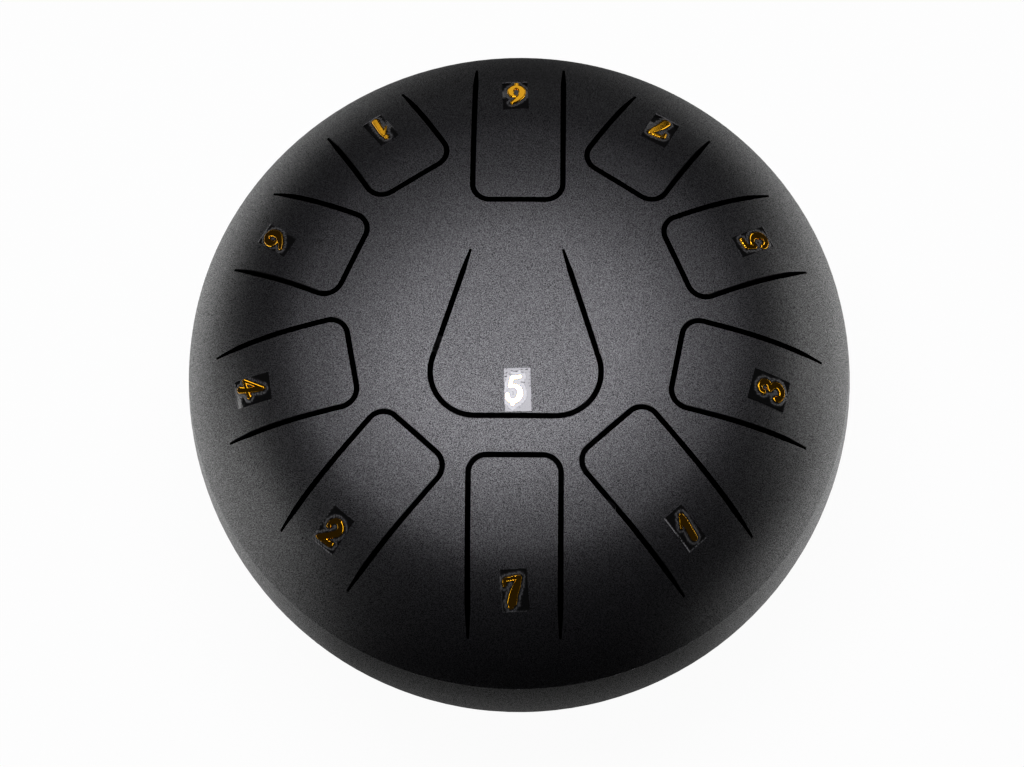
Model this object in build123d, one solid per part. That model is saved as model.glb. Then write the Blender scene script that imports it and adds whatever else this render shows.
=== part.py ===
from build123d import *
import math
import os

# Steel tongue drum: a pressed dome with eleven cut tongues, welded to a barrel-sided bowl on rubber feet.
# Millimetres, +Z up, origin on the ground under the middle, +Y towards the low 6 tongue.

# Both shells
sheet = 1.5
widest_diameter = 254
bulge_radius = 136
seam_above_widest = 26
bowl_depth = 94
knuckle_radius = 60
dome_rise = 46
crown_radius = 710
crown_diameter = 71
haunch_radius = 216
shoulder_radius = 69
weld_bead_radius = 2.5
sound_hole_diameter = 64

# Tongues: cut width and its taper to each end, steel left outside their roots and between the closest two
kerf = 2.1
taper_length = 9
tip_width = 0.9
root_margin = 15.3
web_width = 4.8
tongue_corner_radius = 6.5
closest_web_share = 0.65

# Rim tongues, leftwards round the drum from the back
tongue_names = ["low_6", "high_1", "mid_6", "mid_4", "mid_2", "low_7", "mid_1", "mid_3", "mid_5", "mid_7"]

# Where each one lies, as shares of a full turn from +X
turn_shares = [0.25, 0.3412, 0.4331, 0.5309, 0.6342, 0.75, 0.8658, 0.969, 1.0668, 1.1588]

# Distance of each free end and of each root from the drum's axis, as shares of the root distance
free_end_shares = [0.451, 0.642, 0.601, 0.554, 0.49, 0.437, 0.464, 0.543, 0.586, 0.624]
root_shares = [1.02, 0.993, 0.997, 1.013, 1.003, 1.005, 1.014, 1.022, 1.012, 0.979]

# Middle tongue, fixed at the back and wider at its free end, as shares of the root distance
middle_root_half_share = 0.154
middle_root_share = 0.27
middle_end_half_share = 0.337
middle_end_share = 0.307
middle_corner_share = 0.151

# Stickers, put on by hand
film_width = 9.6
film_length = 16.1
film_thickness = 0.2
adhesive = 0.2
film_edge_gap = 0.3
middle_label_turn_share = 0.7555

# Each rim sticker's distance and width, as shares of the root distance and of the film width
label_shares = [0.877, 0.888, 0.89, 0.902, 0.895, 0.867, 0.863, 0.863, 0.868, 0.896]
film_width_shares = [1, 0.86, 0.88, 1.07, 1.01, 1.02, 0.86, 1.21, 0.89, 1.06]

# Where each rim sticker lies, and how far it is twisted off the radius, as shares of a full turn
label_turn_shares = [0.2525, 0.34, 0.4364, 0.5331, 0.6331, 0.7503, 0.8626, 0.9662, 1.0645, 1.1587]
label_twist_shares = [0.0058, 0.006, -0.0369, -0.0109, 0.0086, 0.0106, 0.0027, -0.0067, 0.0177, 0.0161]

# Tuning magnet, glued under a free end
magnet_diameter = 10
magnet_thickness = 3
magnet_edge_gap = 3
glue_line = 0.1

# Feet, rubber with a deep recess for the screw head
foot_names = ["foot_back_right", "foot_back_left", "foot_front_left", "foot_front_right"]
foot_height = 10
foot_top_diameter = 20
foot_bottom_diameter = 17
foot_edge_radius = 1
foot_floor = 3.5

# Screws, washers and nuts of the feet
screw_diameter = 4
screw_head_diameter = 8
screw_head_height = 2.6
screw_head_round = 1.2
screw_end_past_nut = 1.5
driver_slot_length = 4.4
driver_slot_width = 1
driver_slot_depth = 1.4
washer_diameter = 9
washer_thickness = 0.8
nut_across_flats = 7
nut_height = 3.2
screw_clearance = 0.3
recess_clearance = 0.5

# Overrun of every cut
overrun = 5

# Levels
base_z = foot_height
seam_z = base_z + bowl_depth
widest_z = seam_z - seam_above_widest
crown_z = seam_z + dome_rise

# Centre of the bowl's side curve, and the radius where it meets the seam
bulge_x = widest_diameter / 2 - bulge_radius
seam_radius = bulge_x + math.sqrt(bulge_radius**2 - seam_above_widest**2)

# Centre of the knuckle, which runs from the flat base into the side curve
knuckle_z = base_z + knuckle_radius
knuckle_x = bulge_x + math.sqrt((bulge_radius - knuckle_radius) ** 2 - (knuckle_z - widest_z) ** 2)

# Centres of the crown and of the haunch, which runs smoothly on from the crown's edge
crown_centre_z = crown_z - crown_radius
crown_lean = math.asin(crown_diameter / 2 / crown_radius)
haunch_x = (crown_radius - haunch_radius) * math.sin(crown_lean)
haunch_z = crown_centre_z + (crown_radius - haunch_radius) * math.cos(crown_lean)

# Centre of the shoulder curve, which starts at the seam and runs smoothly into the haunch
seam_to_centre = math.hypot(seam_radius - haunch_x, seam_z - haunch_z)
inner_reach = haunch_radius - shoulder_radius
along = (inner_reach**2 - shoulder_radius**2 + seam_to_centre**2) / (2 * seam_to_centre)
aside = math.sqrt(inner_reach**2 - along**2)
haunch_lean = math.atan2(seam_radius - haunch_x, seam_z - haunch_z) - math.atan2(aside, along)
shoulder_x = haunch_x + inner_reach * math.sin(haunch_lean)
shoulder_z = haunch_z + inner_reach * math.cos(haunch_lean)

# Tongue layout
root_distance = seam_radius - root_margin
closest_turn_share = min(after - before for before, after in zip(turn_shares, turn_shares[1:]))
closest_chord = 2 * closest_web_share * root_distance * math.sin(math.pi * closest_turn_share)
slot_spacing = closest_chord - web_width - kerf
foot_circle = (sound_hole_diameter / 2 + knuckle_x) / 2
foot_places = PolarLocations(foot_circle, len(foot_names), start_angle=45)


def arc_between(centre, radius, start, end):
    """Arc about a centre from the direction of one point to that of another, the short way."""
    first = math.degrees(math.atan2(start[1] - centre[1], start[0] - centre[0]))
    last = math.degrees(math.atan2(end[1] - centre[1], end[0] - centre[0]))
    return CenterArc(centre, radius, first, last - first)


def dome_section(inset):
    """Half section of the space under the dome, with its curves drawn in by inset."""
    crown_r = crown_radius - inset
    haunch_r = haunch_radius - inset
    shoulder_r = shoulder_radius - inset
    top = (0, crown_z - inset)
    crown_edge = (crown_r * math.sin(crown_lean), crown_centre_z + crown_r * math.cos(crown_lean))
    haunch_edge = (haunch_x + haunch_r * math.sin(haunch_lean), haunch_z + haunch_r * math.cos(haunch_lean))
    rim = (shoulder_x + math.sqrt(shoulder_r**2 - (seam_z - shoulder_z) ** 2), seam_z)
    outline = [
        Line((0, seam_z), rim),
        arc_between((shoulder_x, shoulder_z), shoulder_r, rim, haunch_edge),
        arc_between((haunch_x, haunch_z), haunch_r, haunch_edge, crown_edge),
        arc_between((0, crown_centre_z), crown_r, crown_edge, top),
        Line(top, (0, seam_z)),
    ]
    return make_face(outline)


def bowl_section(inset):
    """Half section of the space in the bowl, with its curves drawn in by inset."""
    bulge_centre = (bulge_x, widest_z)
    knuckle_centre = (knuckle_x, knuckle_z)
    bulge_r = bulge_radius - inset
    knuckle_r = knuckle_radius - inset
    drop = math.atan2(knuckle_z - widest_z, knuckle_x - bulge_x)
    rim = (bulge_x + math.sqrt(bulge_r**2 - seam_above_widest**2), seam_z)
    joint = (bulge_x + bulge_r * math.cos(drop), widest_z + bulge_r * math.sin(drop))
    flat_edge = (knuckle_x, base_z + inset)
    outline = [
        Line((0, base_z + inset), flat_edge),
        arc_between(knuckle_centre, knuckle_r, flat_edge, joint),
        arc_between(bulge_centre, bulge_r, joint, rim),
        Line(rim, (0, seam_z)),
        Line((0, seam_z), (0, base_z + inset)),
    ]
    return make_face(outline)


def turned(section):
    """Solid of revolution of a half section drawn in radius and height."""
    return revolve(Plane.XZ * section, Axis.Z)


def dome_curve(distance, inset=0):
    """Centre and radius of the dome's curve at a distance from the axis, drawn in by inset."""
    if distance < (crown_radius - inset) * math.sin(crown_lean):
        return 0, crown_centre_z, crown_radius - inset
    if distance < haunch_x + (haunch_radius - inset) * math.sin(haunch_lean):
        return haunch_x, haunch_z, haunch_radius - inset
    return shoulder_x, shoulder_z, shoulder_radius - inset


def dome_plane(distance, turn_share, inset=0):
    """Plane on the dome's face, +Z outward, -Y towards the rim, at a distance and turn about the axis."""
    centre_x, centre_z, radius = dome_curve(distance, inset)
    slope = math.asin((distance - centre_x) / radius)
    height = centre_z + radius * math.cos(slope)
    turn = 2 * math.pi * turn_share
    outward = Vector(math.cos(turn), math.sin(turn), 0)
    normal = outward * math.sin(slope) + Vector(0, 0, math.cos(slope))
    across = Vector(-math.sin(turn), math.cos(turn), 0)
    return Plane(outward * distance + Vector(0, 0, height), x_dir=across, z_dir=normal)


def tapered_end(root, end):
    """Last stretch of one leg of a cut, narrowing to its tip at the tongue's root."""
    tip = Vector(*root)
    leg = (tip - Vector(*end)).normalized()
    side = Vector(-leg.Y, leg.X)
    wide = tip - leg * taper_length
    half_kerf = side * (kerf / 2)
    half_tip = side * (tip_width / 2)
    return make_face(Polyline(wide - half_kerf, tip - half_tip, tip + half_tip, wide + half_kerf, close=True))


def u_cut(root, end, corner_radius):
    """Outline of a U-shaped cut that is symmetric about the Y axis, from the tip and the corner of its leg."""
    tip = Vector(*root)
    wide = tip - (tip - Vector(*end)).normalized() * taper_length
    mirrored = [(-x, y) for x, y in (end, root)]
    corners = [(wide.X, wide.Y), end, mirrored[0], (-wide.X, wide.Y)]
    path = FilletPolyline(*corners, radius=corner_radius)
    return trace(path, line_width=kerf) + tapered_end(root, end) + tapered_end(mirrored[1], mirrored[0])


def rim_slot(tongue):
    """Outline of the cut round one rim tongue."""
    half = slot_spacing / 2
    root = (half, root_shares[tongue] * root_distance)
    end = (half, free_end_shares[tongue] * root_distance)
    return Rot(0, 0, 360 * turn_shares[tongue] - 90) * u_cut(root, end, tongue_corner_radius)


def middle_slot():
    """Outline of the cut round the middle tongue, which swells towards its free end."""
    root = (middle_root_half_share * root_distance, middle_root_share * root_distance)
    end = (middle_end_half_share * root_distance, -middle_end_share * root_distance)
    return u_cut(root, end, middle_corner_share * root_distance)


def top_shell():
    """Pressed dome with all eleven tongues cut through its sheet."""
    dome = turned(dome_section(0) - dome_section(sheet))
    outlines = [middle_slot()] + [rim_slot(tongue) for tongue in range(len(tongue_names))]
    cuts = [extrude(Pos(0, 0, seam_z) * outline, dome_rise + overrun) for outline in outlines]
    return dome - cuts


def bottom_shell():
    """Barrel-sided bowl with the sound hole and the screw holes of the feet in its flat base."""
    bowl = turned(bowl_section(0) - bowl_section(sheet))
    floor_z = base_z + sheet / 2
    hole = Pos(0, 0, floor_z) * Cylinder(sound_hole_diameter / 2, sheet + overrun)
    screw_hole = Pos(0, 0, floor_z) * Cylinder(screw_diameter / 2 + screw_clearance, sheet + overrun)
    return bowl - hole - [place * screw_hole for place in foot_places]


def seam_weld():
    """Bead along the inside of the seam, filling the corner between the two shells."""
    inside = dome_section(sheet) + bowl_section(sheet)
    corner_x = bulge_x + math.sqrt((bulge_radius - sheet) ** 2 - seam_above_widest**2)
    bead = Pos(corner_x, seam_z) * Circle(weld_bead_radius)
    return turned(bead & inside)


def label(plane, width):
    """Sticker film that follows the dome's face, on its adhesive."""
    film = turned(dome_section(-adhesive - film_thickness) - dome_section(-adhesive))
    patch = plane * Box(width, film_length, 2 * overrun)
    return film & patch


def rim_label(tongue):
    """Sticker near the root of one rim tongue."""
    plane = dome_plane(label_shares[tongue] * root_distance, label_turn_shares[tongue])
    twist = Rot(0, 0, 360 * label_twist_shares[tongue])
    return label(plane * twist, film_width_shares[tongue] * film_width)


def middle_label():
    """Sticker at the free end of the middle tongue."""
    end = middle_end_share * root_distance - kerf / 2
    return label(dome_plane(end - film_edge_gap - film_length / 2, middle_label_turn_share), film_width)


def tuning_magnet():
    """Disc under the free end of the low 6 tongue."""
    tongue = tongue_names.index("low_6")
    end = free_end_shares[tongue] * root_distance + kerf / 2
    under = dome_plane(end + magnet_edge_gap + magnet_diameter / 2, turn_shares[tongue], sheet)
    disc = Pos(0, 0, -glue_line - magnet_thickness / 2) * Cylinder(magnet_diameter / 2, magnet_thickness)
    return under * disc


def foot():
    """Tapered rubber foot with a screw hole and a recess that keeps the screw head off the ground."""
    body = Pos(0, 0, foot_height / 2) * Cone(foot_bottom_diameter / 2, foot_top_diameter / 2, foot_height)
    body = fillet(body.edges().group_by(Axis.Z)[0], foot_edge_radius)
    recess_depth = foot_height - foot_floor
    recess_radius = washer_diameter / 2 + recess_clearance
    recess = Pos(0, 0, recess_depth / 2) * Cylinder(recess_radius, recess_depth)
    hole = Pos(0, 0, foot_height / 2) * Cylinder(screw_diameter / 2 + screw_clearance, foot_height)
    return body - recess - hole


def washer():
    """Flat washer against the top of a foot's recess."""
    disc = Cylinder(washer_diameter / 2, washer_thickness)
    bore = Cylinder(screw_diameter / 2 + screw_clearance, washer_thickness)
    return Pos(0, 0, foot_height - foot_floor - washer_thickness / 2) * (disc - bore)


def screw():
    """Pan-head screw from the recess of a foot up through the bowl's base and its nut."""
    head_top = foot_height - foot_floor - washer_thickness
    head_z = head_top - screw_head_height
    end_z = base_z + sheet + nut_height + screw_end_past_nut
    head = Pos(0, 0, head_z + screw_head_height / 2) * Cylinder(screw_head_diameter / 2, screw_head_height)
    head = fillet(head.edges().group_by(Axis.Z)[0], screw_head_round)
    slot = Pos(0, 0, head_z) * Box(driver_slot_length, driver_slot_width, 2 * driver_slot_depth)
    head = head - slot - Rot(0, 0, 90) * slot
    shank_length = end_z - head_top
    shank = Pos(0, 0, head_top + shank_length / 2) * Cylinder(screw_diameter / 2, shank_length)
    return head + shank


def nut():
    """Hex nut on the inside of the bowl's base."""
    hexagon = RegularPolygon(nut_across_flats / 2, 6, major_radius=False)
    bore = Circle(screw_diameter / 2 + screw_clearance / 2)
    return Pos(0, 0, base_z + sheet) * extrude(hexagon - bore, nut_height)


def group(piece):
    """One copy of a fastener at each foot, as separate solids."""
    return Compound(children=[place * piece for place in foot_places])


nodes = {
    "top_shell": top_shell(),
    "bottom_shell": bottom_shell(),
    "seam_weld": seam_weld(),
    "label_low_5": middle_label(),
    "tuning_magnet": tuning_magnet(),
    "foot_screws": group(screw()),
    "foot_washers": group(washer()),
    "foot_nuts": group(nut()),
}
for tongue, name in enumerate(tongue_names):
    nodes[f"label_{name}"] = rim_label(tongue)
for name, place in zip(foot_names, foot_places):
    nodes[name] = place * foot()

os.makedirs("parts", exist_ok=True)
for name, piece in nodes.items():
    export_step(piece, f"parts/{name}.step")
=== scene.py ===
import math

import bpy
import numpy as np
from mathutils import Matrix, Vector


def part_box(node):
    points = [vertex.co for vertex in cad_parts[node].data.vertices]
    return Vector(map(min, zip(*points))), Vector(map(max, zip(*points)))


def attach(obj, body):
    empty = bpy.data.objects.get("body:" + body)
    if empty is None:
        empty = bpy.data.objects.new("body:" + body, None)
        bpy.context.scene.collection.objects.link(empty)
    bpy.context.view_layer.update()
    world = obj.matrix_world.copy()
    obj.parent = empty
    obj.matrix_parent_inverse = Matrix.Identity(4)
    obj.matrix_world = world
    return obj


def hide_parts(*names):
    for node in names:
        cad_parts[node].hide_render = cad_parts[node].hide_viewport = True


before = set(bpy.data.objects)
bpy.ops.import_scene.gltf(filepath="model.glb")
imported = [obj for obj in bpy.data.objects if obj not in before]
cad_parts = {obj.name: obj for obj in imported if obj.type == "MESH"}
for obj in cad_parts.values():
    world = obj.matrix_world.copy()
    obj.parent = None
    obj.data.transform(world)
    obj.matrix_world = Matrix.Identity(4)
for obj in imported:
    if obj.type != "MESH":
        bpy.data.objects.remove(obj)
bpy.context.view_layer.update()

# Steel tongue drum, in metres: black powder coat, clear stickers and gold numbers round the CAD shells
mm = 0.001

# Dome, read from its box and its three radii, then the base, and the fade of the painted shade on faces that
# turn inward
dome_low, dome_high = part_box("top_shell")
seam_radius, seam_z, crown_z = dome_high.x, dome_low.z, dome_high.z
crown_radius = 710 * mm
crown_edge = 35.5 * mm
haunch_radius = 216 * mm
shoulder_radius = 69 * mm
root_margin = 15.3 * mm
root_distance = seam_radius - root_margin
drum_middle = crown_z / 2
base_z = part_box("foot_back_right")[1].z
steel_sheet = 1.5 * mm
# Reach of the painted shade that turns inward faces black
inner_painted_shade_reach = 30 * mm

# Stickers: the film, its swollen halo round the number, its loose edges and its crumpled stretches
film_width = 9.6 * mm
film_length = 16.1 * mm
film_flat = 0.25 * mm
film_cell = 0.2 * mm
film_wave = 0.002 * mm
halo_width = 1.69 * mm
halo_waver = 0.156 * mm
halo_swell = 0.05 * mm
halo_wrinkle = 0.003 * mm
loose_width = 0.7 * mm
loose_rise = 0.08 * mm
loose_mean, loose_spread = 0.6, 0.6
crumple_rise = 0.028 * mm
crumple_folds = 2.6
wrinkle_lengths = (0.9 * mm, 2.6 * mm)
wrinkle_count = 7
wrinkle_seed = 11
fine_share = 0.6

# Frost and milkiness of the film, and the painted glint on its loose edges
frost_mean, frost_spread = 0.8, 0.35
# Loose edges count as heavy frost: rougher, and milky white as a painted glint
loose_frost_and_glint = 5
clear_milk = 0.003
frost_and_glint_milk = 0.247
crumple_milk = 0.23
milk_reach = 3

# Gold numbers: a raised bead along the outline and a flatter face inside it
number_cell = 0.09 * mm
number_margin = 4 * number_cell
outline_rounds = 3
number_sunk = 0.12 * mm
bead_height = 0.25 * mm
bead_rise = 0.2 * mm
bead_fall = 0.45 * mm
face_height = 0.16 * mm
pen_swell = 0.1 * mm
flat_share = 0.85
pressed_share = 0.7
low_five_share = 0.92
low_five_pen_share = 0.8
pen_steps = 8
sharp_angle = math.radians(40)

# Each sticker's number and its place on the dome: distance as a share of the root distance,
# turn and twist as shares of a full turn, width as a share of the film width. Then where the number sits
# on its film, in millimetres, how far the film's outer and left edges have come loose, as shares, which also
# sets their painted glint, and how far the film is crumpled and its number pressed flat, as a share
stickers = [
    ("low_6", "6_low", 0.877, 0.2525, 0.0058, 1, (-0.4, 0), (0.5, 0), 0),
    ("high_1", "1_high", 0.888, 0.34, 0.006, 0.86, (-0.3, -1.0), (0.8, 0.1), 0),
    ("mid_6", "6", 0.89, 0.4364, -0.0369, 0.88, (0.4, -0.5), (1, 0.1), 0),
    ("mid_4", "4", 0.902, 0.5331, -0.0109, 1.07, (-0.9, -0.4), (0.5, 0), 0),
    ("mid_2", "2", 0.895, 0.6331, 0.0086, 1.01, (0.1, -0.1), (0.7, 0.2), 0),
    ("low_7", "7_low", 0.867, 0.7503, 0.0106, 1.02, (-0.4, 0.1), (0.2, 0.2), 0),
    ("mid_1", "1", 0.863, 0.8626, 0.0027, 0.86, (0.6, -0.2), (0.4, 1), 0),
    ("mid_3", "3", 0.863, 0.9662, -0.0067, 1.21, (0.1, -0.1), (0.2, 0), 0),
    ("mid_5", "5", 0.868, 1.0645, 0.0177, 0.89, (-0.2, -0.1), (0.4, 0), 0),
    ("mid_7", "7", 0.896, 1.1587, 0.0161, 1.06, (0.4, -0.5), (0.7, 0), 0),
    ("low_5", "5_low", 0.2205, 0.7555, 0, 1, (-1.0, 0.45), (0, 0), 1),
]

# Dot of a low or high note: half its height and half the pen's width, in millimetres
dot_reach = 0.2
dot_half_width = 0.85

# Pen strokes of the numbers: place across, place up and half width at each point, in millimetres
one = [
    [(0.9, 5.2, 0.75), (0.65, 3.2, 1.1), (0.25, -0.9, 1.15), (-0.2, -4.5, 1.2)],
    [(0.8, 5.0, 0.75), (-0.4, 3.4, 0.6), (-1.9, 1.4, 0.3)],
]
two = [
    [(-2.0, 0.6, 0.8), (-1.9, 2.4, 0.85), (-0.6, 3.9, 0.95), (1.2, 3.9, 1.1),
     (2.5, 2.2, 1.25), (2.2, 0.3, 1.2)],
    [(2.2, 0.3, 1.2), (0.4, -1.9, 1.1), (-1.6, -3.9, 1.0), (-3.2, -5.3, 0.7)],
    [(-3.2, -5.3, 0.7), (-0.5, -4.9, 0.95), (2.0, -4.7, 1.0), (2.8, -3.9, 0.45)],
]
three = [
    [(-1.7, 2.4, 0.75), (-1.2, 3.9, 0.85), (0.5, 4.5, 0.9), (2.0, 3.2, 1.1), (1.8, 1.4, 1.0), (0, 0.2, 0.8)],
    [(0, 0.2, 0.8), (2.1, -1.0, 1.1), (2.3, -3.2, 1.2), (0.3, -5.0, 1.1),
     (-1.9, -4.5, 1.05), (-2.5, -3.0, 0.95)],
]
four = [
    [(1.3, 5.3, 0.75), (0.9, 2.5, 0.95), (0.2, -1.8, 1.0), (-0.6, -5.0, 1.15)],
    [(1.1, 5.1, 0.6), (-1.2, 1.3, 0.6), (-3.3, -2.2, 0.6)],
    [(-3.4, -2.6, 0.75), (0, -1.9, 0.75), (2.9, -1.2, 0.85)],
]
five = [
    [(-1.0, 4.4, 0.85), (0.6, 4.5, 0.9), (2.2, 4.7, 0.8)],
    [(-1.0, 4.4, 0.75), (-1.4, 2.7, 0.8), (-1.9, 0.9, 0.75)],
    [(-1.9, 0.9, 0.65), (0.2, 1.0, 0.9), (1.9, -0.6, 1.15), (1.7, -3.2, 1.3),
     (0, -5.0, 1.1), (-2.0, -4.7, 1.0)],
    [(-2.0, -4.7, 1.0), (-2.9, -3.6, 0.95), (-3.0, -2.3, 0.85)],
]
six = [
    [(1.7, 5.0, 0.7), (0.1, 3.6, 1.05), (-1.7, 1.2, 1.3), (-2.2, -1.2, 1.35),
     (-1.6, -3.4, 1.25), (-0.1, -4.7, 1.05)],
    [(-0.1, -4.7, 1.05), (1.5, -3.4, 1.2), (2.1, -1.2, 1.2), (1.6, 0.5, 1.05), (0.6, 1.2, 0.7)],
]
seven = [
    [(-2.9, 2.0, 0.5), (-2.7, 3.9, 0.7), (-0.3, 4.5, 0.8), (2.5, 4.7, 0.8)],
    [(2.5, 4.7, 0.8), (1.5, 2.0, 1.2), (0.2, -1.0, 1.45), (-0.7, -4.4, 1.6)],
]


def dot(x, y):
    """Dot under or over a number, for a low or a high note, in millimetres."""
    return [[(x, y - dot_reach, dot_half_width), (x, y + dot_reach, dot_half_width)]]


def sized(strokes, share, pen_share):
    """Pen strokes at a share of their size and a share of their width."""
    return [[(share * x, share * y, pen_share * width) for x, y, width in stroke] for stroke in strokes]


numbers = {
    "1": one,
    "1_high": one + dot(0.6, 6.6),
    "2": two,
    "3": three,
    "4": four,
    "5": five,
    "5_low": sized(five + dot(-1.0, -6.1), low_five_share, low_five_pen_share),
    "6": six,
    "6_low": six + dot(-0.3, -5.9),
    "7": seven,
    "7_low": seven + dot(-1.2, -5.8),
}

# Where most of a noise value lies, the part of it that makes the coat's grain, its octaves and its tilt
noise_span = (0.3, 0.7)
grain_span = (0.41, 0.59)
noise_detail = 2
noise_tilt = (0.5, 0.7, 0.3)

# How well the smooth normal has to agree with the face
close_span = (0.97, 0.98)

# Finishes: grain, mottle and pores are cells per metre, and relief is a depth
coat_colour = (0.006, 0.006, 0.0073)
coat_specular = 0.81
coat_ior = 1.7
coat_roughness = (0.41, 0.45)
coat_grain = 3600
grain_share = 0.88
coat_mottle = 900
coat_pores = 3000
coat_relief = 0.05 * mm
film_specular = 0.8
film_roughness = (0.06, 0.42)
film_grain = 1800
film_bump = 0.3
film_relief = 0.03 * mm
gold_colour = (0.9, 0.43, 0.012)
# Paler gold of the middle number: painted highlight of the softbox's reflection in it
gold_painted_highlight_colour = (0.9, 0.68, 0.4)
foil_roughness = (0.05, 0.1)
foil_mottle = 700
foil_grain = 2500
foil_bump = 0.1
foil_relief = 0.02 * mm
glaze_roughness = 0.06
glaze_ior = 1.65
rubber_colour = (0.015, 0.015, 0.015)
rubber_specular = 0.4
rubber_roughness = (0.65, 0.85)
rubber_mottle = 300
rubber_grain = 1200
rubber_bump = 0.2
rubber_relief = 0.1 * mm
zinc_colour = (0.62, 0.63, 0.64)
# Zinc's colour below the base, then its painted shade inside the drum
zinc_and_painted_shade = (0.62, 0.012)
zinc_roughness = (0.3, 0.45)
nickel_colour = (0.66, 0.63, 0.58)
nickel_roughness = (0.15, 0.25)
weld_colour = (0.2, 0.18, 0.17)
weld_roughness = (0.4, 0.6)
plate_mottle = 900
plate_grain = 1800
plate_bump = 0.08
plate_relief = 0.03 * mm

# Camera, fitted to the silhouette, seam and cuts. The sensor's width is in millimetres
image_size = (1024, 767)
focal_pixels = 2631
seam_pixel = (518.1, 362.4)
camera_azimuth = math.radians(4.23)
camera_elevation = math.radians(73.57)
camera_roll = math.radians(-3.76)
camera_distance = 994.21 * mm
sensor_width = 36

# Studio: lamps with their sizes, powers and places, the floor's painted glow, seen only in reflections, by
# distance and heading, and its painted shadow under the drum
floor_size = 8
floor_colour = (0.9, 0.9, 0.9)
# Floor colour: painted shadow under the drum, pale outside it
floor_painted_shadow = (0.01, 0.9)
floor_roughness = 0.9
softbox_size = (0.79, 0.42)
softbox_power = 9
softbox_place = (-0.046, 0.151, 1.15)
softbox_colour = (0.99, 0.975, 1.05)
side_card_size = (0.6, 0.3)
side_card_power = 1.4
side_card_distance = 0.9
side_card_turn = math.radians(15)
back_light_size = (1.08, 0.12)
back_light_power = 0.29
back_light_place = (-0.02, 1.2, 0.287)
ambient = 0.018
# Painted glow of the floor, seen only in reflections: its near reach, side levels, shares by heading, front
# level and fade
near_floor = (0.17, 0.22)
side_sheen = (1.45, 2.45)
side_share = (0.2, 1)
rear_share = (-0.18, 0.24)
front_sheen = 0.34
sheen_fade = (0.3, 0.9)
white_share = 0.96
# Reach over which the painted shadow under the drum gives way to the white floor
painted_shadow_reach = (0.05, 0.11)

# Centres of the dome's curves, each running smoothly into the next, from the crown to the seam
crown_centre_z = crown_z - crown_radius
crown_lean = math.asin(crown_edge / crown_radius)
haunch_x = (crown_radius - haunch_radius) * math.sin(crown_lean)
haunch_z = crown_centre_z + (crown_radius - haunch_radius) * math.cos(crown_lean)
seam_to_centre = math.hypot(seam_radius - haunch_x, seam_z - haunch_z)
inner_reach = haunch_radius - shoulder_radius
along = (inner_reach**2 - shoulder_radius**2 + seam_to_centre**2) / (2 * seam_to_centre)
aside = math.sqrt(inner_reach**2 - along**2)
haunch_lean = math.atan2(seam_radius - haunch_x, seam_z - haunch_z) - math.atan2(aside, along)
shoulder_x = haunch_x + inner_reach * math.sin(haunch_lean)
shoulder_z = haunch_z + inner_reach * math.cos(haunch_lean)


def on_dome(place, x, y, lift, levelled_share=0):
    """Points over the dome from places on a sticker and their heights, levelled by a share."""
    distance_share, turn_share, twist_share = place
    distance = distance_share * root_distance
    turn = 2 * math.pi * turn_share
    twist = 2 * math.pi * twist_share
    centre_r, centre_z, radius = 0, crown_centre_z, crown_radius
    if distance > crown_edge:
        centre_r, centre_z, radius = shoulder_x, shoulder_z, shoulder_radius
    slope = math.asin((distance - centre_r) / radius)
    outward = np.array([math.cos(turn), math.sin(turn), 0])
    across = np.array([-math.sin(turn), math.cos(turn), 0])
    up = np.array([0, 0, 1])
    inward = up * math.sin(slope) - outward * math.cos(slope)
    origin = outward * distance + up * (centre_z + radius * math.cos(slope))
    over = x * math.cos(twist) - y * math.sin(twist)
    inn = x * math.sin(twist) + y * math.cos(twist)
    flat = origin + over[..., None] * across + inn[..., None] * inward
    r = np.hypot(flat[..., 0], flat[..., 1])
    reach_r, reach_z = r - centre_r, flat[..., 2] - centre_z
    reach = np.hypot(reach_r, reach_z)
    stretch = (radius + lift + levelled_share * (reach - radius)) / reach
    widened = (centre_r + reach_r * stretch) / r
    return np.stack([flat[..., 0] * widened, flat[..., 1] * widened, centre_z + reach_z * stretch], -1)


def pen_line(points):
    """Smooth run of a pen stroke through its points, each with its half width."""
    p = np.array(points, float) * mm
    padded = np.vstack([2 * p[0] - p[1], p, 2 * p[-1] - p[-2]])
    run = []
    for a, b, c, d in zip(padded, padded[1:], padded[2:], padded[3:]):
        for t in np.linspace(0, 1, pen_steps, endpoint=False):
            run.append(b + 0.5 * t * (c - a + t * (2 * a - 5 * b + 4 * c - d + t * (3 * (b - c) + d - a))))
    return np.array(run + [p[-1]])


def outside(strokes, x, y):
    """Distance outside a number's outline, negative inside it."""
    nearest = np.full(x.shape, np.inf)
    for stroke in strokes:
        run = pen_line(stroke)
        for (ax, ay, ar), (bx, by, br) in zip(run, run[1:]):
            dx, dy = bx - ax, by - ay
            t = np.clip(((x - ax) * dx + (y - ay) * dy) / (dx**2 + dy**2), 0, 1)
            gap = np.hypot(x - ax - t * dx, y - ay - t * dy) - ar - t * (br - ar) - pen_swell
            nearest = np.minimum(nearest, gap)
    return nearest


def ease(t):
    """Smooth step from 0 to 1."""
    t = np.clip(t, 0, 1)
    return t * t * (3 - 2 * t)


def ripple(x, y, dice):
    """Irregular waves of the film, between about -1 and 1."""
    total = np.zeros(x.shape)
    for _ in range(wrinkle_count):
        heading, phase = dice.uniform(0, 2 * math.pi, 2)
        length = dice.uniform(*wrinkle_lengths)
        total += np.sin(2 * math.pi * (x * math.cos(heading) + y * math.sin(heading)) / length + phase)
    return total / math.sqrt(wrinkle_count)


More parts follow.
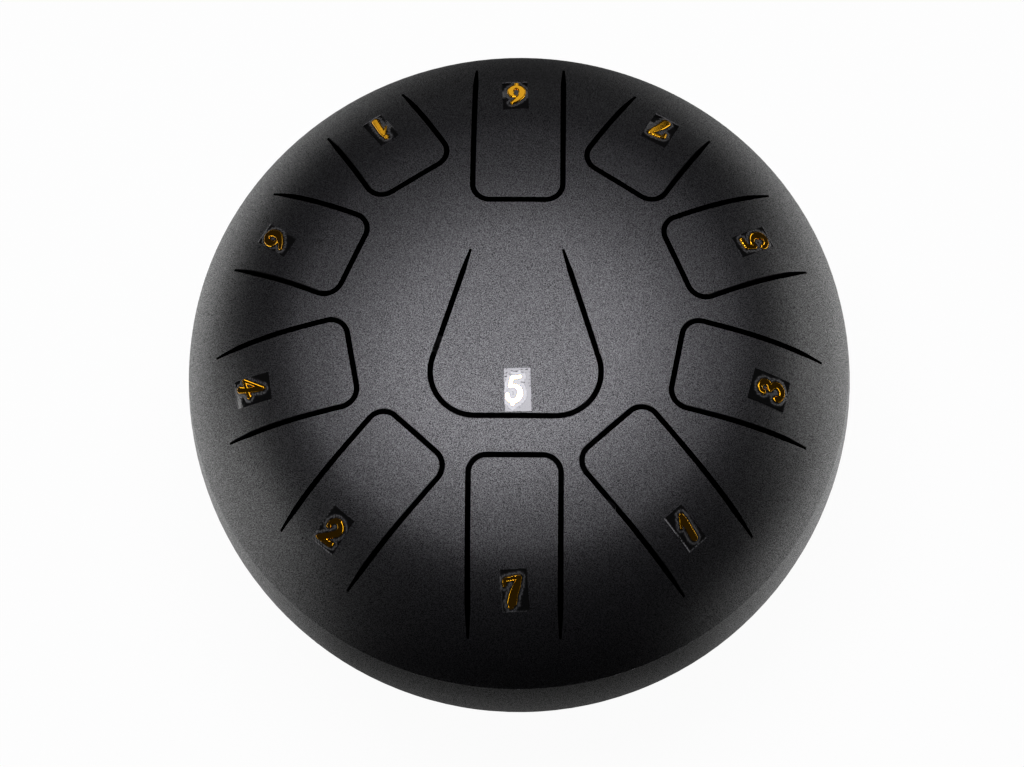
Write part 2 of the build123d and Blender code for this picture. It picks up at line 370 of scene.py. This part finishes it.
def plate(name, top, bottom, cells):
    """Closed plate from grids of upper and lower points, over the grid cells that are kept."""
    rows, columns = cells.shape
    index = np.arange((rows + 1) * (columns + 1)).reshape(rows + 1, columns + 1)
    under = index.size
    faces = []
    edges = {}
    for i, j in zip(*np.nonzero(cells)):
        ring = [index[i, j], index[i, j + 1], index[i + 1, j + 1], index[i + 1, j]]
        ring = [int(k) for k in ring]
        faces.append(ring)
        faces.append([k + under for k in reversed(ring)])
        for a, b in zip(ring, ring[1:] + ring[:1]):
            if (b, a) in edges:
                del edges[(b, a)]
            else:
                edges[(a, b)] = True
    faces += [[b, a, a + under, b + under] for a, b in edges]
    points = np.vstack([top.reshape(-1, 3), bottom.reshape(-1, 3)])
    used = sorted({k for face in faces for k in face})
    place = {k: n for n, k in enumerate(used)}
    mesh = bpy.data.meshes.new(name)
    mesh.from_pydata(points[used].tolist(), [], [[place[k] for k in face] for face in faces])
    mesh.shade_smooth()
    mesh.set_sharp_from_angle(angle=sharp_angle)
    piece = bpy.data.objects.new(name, mesh)
    bpy.context.scene.collection.objects.link(piece)
    return piece


def grid(width, length, cell):
    """Square grid over a rectangle, as places across and along it."""
    columns = np.linspace(-width / 2, width / 2, round(width / cell) + 1)
    rows = np.linspace(-length / 2, length / 2, round(length / cell) + 1)
    return np.meshgrid(columns, rows)


def film(name, strokes, place, width, offset, loose, crumpled, dice):
    """Clear sticker, swollen and frosty round the number and where its edges have come loose, with a painted
    glint along the loose edges.
    """
    x, y = grid(width, film_length, film_cell)
    gap = outside(strokes, x - offset[0] * mm, y - offset[1] * mm)
    waves = ripple(x, y, dice)
    fine = ripple(x / fine_share, y / fine_share, dice)
    halo = ease(1 - (gap - halo_waver * waves) / halo_width)
    band = 4 * halo * (1 - halo)
    outer = loose[0] * ease(1 - (y + film_length / 2) / loose_width)
    left = loose[1] * ease(1 - (x + width / 2) / loose_width)
    free = np.maximum(outer, left) * np.clip(loose_mean + loose_spread * fine, 0, 1)
    creases = crumpled * (1 - halo) * np.sin(crumple_folds * fine)
    lift = film_flat + halo_swell * halo + halo_wrinkle * band * fine
    lift = lift + loose_rise * free + film_wave * waves + crumple_rise * creases
    bottom = on_dome(place, x, y, np.zeros(x.shape))
    whole = np.ones((x.shape[0] - 1, x.shape[1] - 1), bool)
    made = plate(name, on_dome(place, x, y, lift), bottom, whole)
    patchy = np.clip(frost_mean + frost_spread * fine, 0, None)
    # Painted glint: loose edges turn milky white; round the number the film is only frosted
    frost_and_glint = (1 - crumpled) * band * patchy + loose_frost_and_glint * free
    milky_and_glint = clear_milk + frost_and_glint_milk * np.clip(frost_and_glint / loose_frost_and_glint, 0, 1)
    milky_and_glint = milky_and_glint + crumpled * crumple_milk * ease(milk_reach * halo)
    for mark, values in (("frost", frost_and_glint), ("milk_and_glint", milky_and_glint)):
        layer = made.data.attributes.new(mark, "FLOAT", "POINT")
        layer.data.foreach_set("value", np.tile(values.ravel(), 2))
    return made


def number(name, strokes, place, offset, relief):
    """Gold number with a bead along its outline, on top of the film, at a share of its full relief."""
    reach = [np.array(stroke) for stroke in strokes]
    wide = 2 * mm * max(np.abs(s[:, 0]).max() + s[:, 2].max() for s in reach)
    tall = 2 * mm * max(np.abs(s[:, 1]).max() + s[:, 2].max() for s in reach)
    x, y = grid(wide + number_margin, tall + number_margin, number_cell)
    inside = outside(strokes, x, y) < 0
    cells = inside[:-1, :-1] | inside[1:, :-1] | inside[:-1, 1:] | inside[1:, 1:]
    for _ in range(outline_rounds):
        gap = outside(strokes, x, y)
        push = np.maximum(gap, 0)
        push_y, push_x = np.gradient(gap, number_cell)
        x, y = x - push * push_x, y - push * push_y
    depth = np.maximum(-outside(strokes, x, y), 0)
    rise = bead_height * np.sqrt(ease(depth / bead_rise))
    fall = (bead_height - face_height) * ease((depth - bead_rise) / (bead_fall - bead_rise))
    x, y = x + offset[0] * mm, y + offset[1] * mm
    base = film_flat + halo_swell
    top = on_dome(place, x, y, base + relief * (rise - fall), flat_share)
    bottom = on_dome(place, x, y, np.full(x.shape, base - number_sunk))
    return plate(name, top, bottom, cells)


def material(name, colour, metallic, specular=0.5):
    """New material with a principled shader, its constants set on its sockets."""
    made = bpy.data.materials.new(name)
    made.use_nodes = True
    shader = made.node_tree.nodes["Principled BSDF"]
    shader.inputs["Base Color"].default_value = (*colour, 1)
    shader.inputs["Metallic"].default_value = metallic
    shader.inputs["Specular IOR Level"].default_value = specular
    return made, made.node_tree, shader


def noise(tree, scale):
    """Noise in the drum's own coordinates, tilted so that no flat face lies along its grid."""
    place = tree.nodes.new("ShaderNodeTexCoord")
    tilted = tree.nodes.new("ShaderNodeMapping")
    tilted.inputs["Rotation"].default_value = noise_tilt
    cloud = tree.nodes.new("ShaderNodeTexNoise")
    cloud.inputs["Scale"].default_value = scale
    cloud.inputs["Detail"].default_value = noise_detail
    tree.links.new(place.outputs["Object"], tilted.inputs["Vector"])
    tree.links.new(tilted.outputs["Vector"], cloud.inputs["Vector"])
    return cloud.outputs["Fac"]


def ramp(tree, value, span, levels):
    """Value taken from one range to another."""
    made = tree.nodes.new("ShaderNodeMapRange")
    made.inputs["From Min"].default_value, made.inputs["From Max"].default_value = span
    made.inputs["To Min"].default_value, made.inputs["To Max"].default_value = levels
    tree.links.new(value, made.inputs["Value"])
    return made.outputs["Result"]


def spread(tree, shader, scale, levels):
    """Roughness that wanders between two levels."""
    tree.links.new(ramp(tree, noise(tree, scale), noise_span, levels), shader.inputs["Roughness"])


def bump(tree, shader, scale, strength, depth):
    """Small uneven relief on a shader."""
    relief = tree.nodes.new("ShaderNodeBump")
    relief.inputs["Strength"].default_value = strength
    relief.inputs["Distance"].default_value = depth
    tree.links.new(noise(tree, scale), relief.inputs["Height"])
    tree.links.new(relief.outputs["Normal"], shader.inputs["Normal"])
    return relief


def math_node(tree, operation, first, second=None):
    """Sum, product or the like of two values, or a function of one."""
    made = tree.nodes.new("ShaderNodeMath")
    made.operation = operation
    tree.links.new(first, made.inputs[0])
    if second:
        tree.links.new(second, made.inputs[1])
    return made.outputs["Value"]


def vector_node(tree, operation, first, second=None):
    """Sum, product or the like of two vectors, the second one given as numbers or as a socket."""
    made = tree.nodes.new("ShaderNodeVectorMath")
    made.operation = operation
    tree.links.new(first, made.inputs[0])
    if isinstance(second, tuple):
        made.inputs[1].default_value = second
    elif second:
        tree.links.new(second, made.inputs[1])
    return made.outputs["Value" if operation in ("LENGTH", "DOT_PRODUCT") else "Vector"]


def mixed(tree, share, first, second):
    """Two shaders, mixed by a share."""
    made = tree.nodes.new("ShaderNodeMixShader")
    for socket, value in zip(made.inputs, (share, first, second)):
        tree.links.new(value, socket)
    return made.outputs["Shader"]


def smooth_dome(tree, place, face):
    """Normal of the dome's smooth curves, used where it lies close to the normal of the face."""
    flat = vector_node(tree, "MULTIPLY", place, (1, 1, 0))
    reach = vector_node(tree, "LENGTH", flat)
    lean = ramp(tree, reach, (0, crown_radius), (0, 1))
    for start, radius in ((haunch_x, haunch_radius), (shoulder_x, shoulder_radius)):
        lean = math_node(tree, "MAXIMUM", lean, ramp(tree, reach, (start, start + radius), (0, 1)))
    level = ramp(tree, math_node(tree, "MULTIPLY", lean, lean), (0, 1), (1, 0))
    up = tree.nodes.new("ShaderNodeCombineXYZ")
    tree.links.new(math_node(tree, "SQRT", level), up.inputs["Z"])
    sides = vector_node(tree, "MULTIPLY", vector_node(tree, "NORMALIZE", flat), lean)
    smooth = vector_node(tree, "ADD", sides, up.outputs["Vector"])
    close = ramp(tree, vector_node(tree, "DOT_PRODUCT", smooth, face), close_span, (0, 1))
    turned = vector_node(tree, "MULTIPLY", vector_node(tree, "SUBTRACT", smooth, face), close)
    return vector_node(tree, "ADD", face, turned)


def attribute(tree, name):
    """Values stored on a mesh."""
    made = tree.nodes.new("ShaderNodeAttribute")
    made.attribute_name = name
    return made


def powder_coat(name, dome):
    """Black powder coat: a fine sparkling grain and a slightly uneven satin, with painted shade that turns
    it black inside the drum.
    """
    made, tree, shader = material(name, coat_colour, 0, coat_specular)
    shader.inputs["IOR"].default_value = coat_ior
    source = tree.nodes.new("ShaderNodeTexCoord")
    place, face = source.outputs["Object"], source.outputs["Normal"]
    outward = vector_node(tree, "SUBTRACT", place, (0, 0, drum_middle))
    # Painted shade: faces turned toward the middle of the drum go plain black
    painted_inner_shade = ramp(tree, vector_node(tree, "DOT_PRODUCT", outward, face), (0, inner_painted_shade_reach), (1, 0))
    grain = ramp(tree, noise(tree, coat_grain), grain_span, (0, grain_share))
    black_grain_and_shade = tree.nodes.new("ShaderNodeBsdfDiffuse")
    black_grain_and_shade.inputs["Color"].default_value = (0, 0, 0, 1)
    grain_and_painted_shade = math_node(tree, "MAXIMUM", grain, painted_inner_shade)
    whole = mixed(tree, grain_and_painted_shade, shader.outputs["BSDF"], black_grain_and_shade.outputs["BSDF"])
    tree.links.new(whole, tree.nodes["Material Output"].inputs["Surface"])
    spread(tree, shader, coat_mottle, coat_roughness)
    relief = bump(tree, shader, coat_pores, 1, coat_relief)
    if dome:
        tree.links.new(smooth_dome(tree, place, face), relief.inputs["Normal"])
    return made


def clear_film():
    """Smooth clear film on the black coat, whitish where it is frosty, with a painted glint where its edges
    are loose.
    """
    made, tree, shader = material("clear_film", (clear_milk, clear_milk, clear_milk), 0, film_specular)
    # Base colour: the frost's milkiness and the painted glint of loose edges
    tree.links.new(attribute(tree, "milk_and_glint").outputs["Color"], shader.inputs["Base Color"])
    haze = ramp(tree, attribute(tree, "frost").outputs["Fac"], (0, 1), film_roughness)
    tree.links.new(haze, shader.inputs["Roughness"])
    bump(tree, shader, film_grain, film_bump, film_relief)
    return made


def gold_foil(name, colour, glaze):
    """Embossed gold foil under a share of clear glaze."""
    made, tree, shader = material(name, colour, 1)
    shader.inputs["Coat Weight"].default_value = glaze
    shader.inputs["Coat Roughness"].default_value = glaze_roughness
    shader.inputs["Coat IOR"].default_value = glaze_ior
    spread(tree, shader, foil_mottle, foil_roughness)
    bump(tree, shader, foil_grain, foil_bump, foil_relief)
    return made


def black_rubber():
    """Moulded rubber with a dusty, slightly mottled face."""
    made, tree, shader = material("black_rubber", rubber_colour, 0, rubber_specular)
    spread(tree, shader, rubber_mottle, rubber_roughness)
    bump(tree, shader, rubber_grain, rubber_bump, rubber_relief)
    return made


def plated(name, colour, roughness):
    """Plated or bare steel with faint machining grain."""
    made, tree, shader = material(name, colour, 1)
    spread(tree, shader, plate_mottle, roughness)
    bump(tree, shader, plate_grain, plate_bump, plate_relief)
    return made


def zinc_plate():
    """Zinc plate, bright under the drum, with painted shade that turns it near black inside the drum."""
    made = plated("zinc_plate", zinc_colour, zinc_roughness)
    tree = made.node_tree
    split = tree.nodes.new("ShaderNodeSeparateXYZ")
    tree.links.new(tree.nodes.new("ShaderNodeTexCoord").outputs["Object"], split.inputs["Vector"])
    # Painted shade: the zinc goes near black above the base, inside the drum
    shade = ramp(tree, split.outputs["Z"], (base_z, base_z + steel_sheet), zinc_and_painted_shade)
    tree.links.new(shade, tree.nodes["Principled BSDF"].inputs["Base Color"])
    return made


def dress(node, made):
    """Material of a CAD node."""
    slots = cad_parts[node].data.materials
    slots.clear()
    slots.append(made)


def area_light(name, place, aim, size, power, colour=(1, 1, 1)):
    """Soft rectangular lamp aimed at a point, not seen itself."""
    lamp = bpy.data.lights.new(name, "AREA")
    lamp.shape = "RECTANGLE"
    lamp.size, lamp.size_y = size
    lamp.energy = power
    lamp.color = colour
    holder = bpy.data.objects.new(name, lamp)
    holder.location = place
    holder.rotation_euler = (Vector(aim) - Vector(place)).to_track_quat("-Z", "Y").to_euler()
    holder.visible_camera = False
    bpy.context.scene.collection.objects.link(holder)


def seen_directly(tree):
    """One for rays that come from the camera or through glass."""
    path = tree.nodes.new("ShaderNodeLightPath")
    return math_node(tree, "MAXIMUM", path.outputs["Is Camera Ray"], path.outputs["Is Transmission Ray"])


def glow(tree, strength):
    """White light of a strength."""
    made = tree.nodes.new("ShaderNodeEmission")
    tree.links.new(strength, made.inputs["Strength"])
    return made.outputs["Emission"]


def floor_material():
    """Pale floor: white with a faint shadow, a painted glow seen only in reflections that is brighter at
    both sides than in front, and a painted shadow under the drum.
    """
    made, tree, shader = material("floor", floor_colour, 0, 0)
    shader.inputs["Roughness"].default_value = floor_roughness
    place = tree.nodes.new("ShaderNodeTexCoord").outputs["Object"]
    reach = vector_node(tree, "LENGTH", place)
    split = tree.nodes.new("ShaderNodeSeparateXYZ")
    tree.links.new(vector_node(tree, "NORMALIZE", place), split.inputs["Vector"])
    across, back = split.outputs["X"], split.outputs["Y"]
    # Painted reflection: the floor glows for reflected rays only, more at both sides than in front
    rear = ramp(tree, back, (-1, 1), rear_share)
    side = math_node(tree, "ADD", math_node(tree, "MULTIPLY", across, across), rear)
    side = ramp(tree, side, side_share, (0, 1))
    side = math_node(tree, "MULTIPLY", side, ramp(tree, reach, near_floor, side_sheen))
    side = math_node(tree, "MULTIPLY", side, ramp(tree, reach, sheen_fade, (1, 0)))
    front = ramp(tree, reach, near_floor, (front_sheen, 0))
    sheen = glow(tree, math_node(tree, "ADD", side, front))
    glossy = tree.nodes.new("ShaderNodeLightPath").outputs["Is Glossy Ray"]
    seen = mixed(tree, glossy, shader.outputs["BSDF"], sheen)
    # Painted shadow: under the drum the floor is dark and not white
    tree.links.new(ramp(tree, reach, painted_shadow_reach, floor_painted_shadow), shader.inputs["Base Color"])
    clear = ramp(tree, reach, painted_shadow_reach, (0, white_share))
    white = math_node(tree, "MULTIPLY", clear, seen_directly(tree))
    whole = mixed(tree, white, seen, tree.nodes.new("ShaderNodeEmission").outputs["Emission"])
    tree.links.new(whole, tree.nodes["Material Output"].inputs["Surface"])
    return made


def studio():
    """Pale floor, one overhead softbox, low cards at both sides, a low light behind and a dim surround."""
    bpy.ops.mesh.primitive_plane_add(size=floor_size)
    floor = bpy.context.object
    floor.name = "floor"
    floor.data.materials.append(floor_material())
    crown = (0, 0, crown_z)
    area_light("softbox", softbox_place, crown, softbox_size, softbox_power, softbox_colour)
    area_light("back_light", back_light_place, crown, back_light_size, back_light_power)
    for reach in (-side_card_distance, side_card_distance):
        place = (reach * math.cos(side_card_turn), reach * math.sin(side_card_turn), side_card_size[1] / 2)
        area_light("side_card", place, crown, side_card_size, side_card_power)
    world = bpy.data.worlds.new("surround")
    world.use_nodes = True
    tree = world.node_tree
    shade = tree.nodes["Background"]
    shade.inputs["Color"].default_value = (1, 1, 1, 1)
    tree.links.new(ramp(tree, seen_directly(tree), (0, 1), (ambient, 1)), shade.inputs["Strength"])
    bpy.context.scene.world = world


def camera():
    """Camera at the photograph's angle."""
    back = Vector((
        math.sin(camera_azimuth) * math.cos(camera_elevation),
        -math.cos(camera_azimuth) * math.cos(camera_elevation),
        math.sin(camera_elevation),
    ))
    level = Vector((math.cos(camera_azimuth), math.sin(camera_azimuth), 0))
    rise = level.cross(-back)
    right = level * math.cos(camera_roll) + rise * math.sin(camera_roll)
    up = rise * math.cos(camera_roll) - level * math.sin(camera_roll)
    per_pixel = camera_distance / focal_pixels
    shift_x = (seam_pixel[0] - image_size[0] / 2) * per_pixel
    shift_y = (seam_pixel[1] - image_size[1] / 2) * per_pixel
    place = Vector((0, 0, seam_z)) + back * camera_distance - right * shift_x + up * shift_y
    lens = bpy.data.cameras.new("camera")
    lens.sensor_width = sensor_width
    lens.lens = focal_pixels / image_size[0] * sensor_width
    holder = bpy.data.objects.new("camera", lens)
    holder.matrix_world = Matrix.Translation(place) @ Matrix((right, up, back)).transposed().to_4x4()
    bpy.context.scene.collection.objects.link(holder)
    bpy.context.scene.camera = holder


coat = powder_coat("powder_coat", False)
dome_coat = powder_coat("dome_powder_coat", True)
film_skin = clear_film()
rubber = black_rubber()
gold = gold_foil("gold_foil", gold_colour, 0)
# Glazed gold, paler as a painted highlight, for the middle number
gold_painted_highlight = gold_foil("gold_foil_painted_highlight", gold_painted_highlight_colour, 1)
zinc = zinc_plate()
nickel = plated("nickel_plate", nickel_colour, nickel_roughness)
weld = plated("weld_steel", weld_colour, weld_roughness)
dress("top_shell", dome_coat)
dress("bottom_shell", coat)
for node in ("foot_screws", "foot_washers", "foot_nuts"):
    dress(node, zinc)
for node in ("foot_back_right", "foot_back_left", "foot_front_left", "foot_front_right"):
    dress(node, rubber)
dress("seam_weld", weld)
dress("tuning_magnet", nickel)

dice = np.random.default_rng(wrinkle_seed)
for name, shape, distance_share, turn_share, twist_share, width_share, offset, loose, crumpled in stickers:
    place = (distance_share, turn_share, twist_share)
    width = width_share * film_width
    sheet = film(f"film_{name}", numbers[shape], place, width, offset, loose, crumpled, dice)
    sheet.data.materials.append(film_skin)
    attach(sheet, "root")
    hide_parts(f"label_{name}")
    digit = number(f"number_{name}", numbers[shape], place, offset, 1 - pressed_share * crumpled)
    # The middle number takes the paler gold, a painted highlight
    digit.data.materials.append(gold_painted_highlight if name == "low_5" else gold)
    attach(digit, "root")

studio()
camera()
bpy.context.scene.view_settings.view_transform = "Standard"
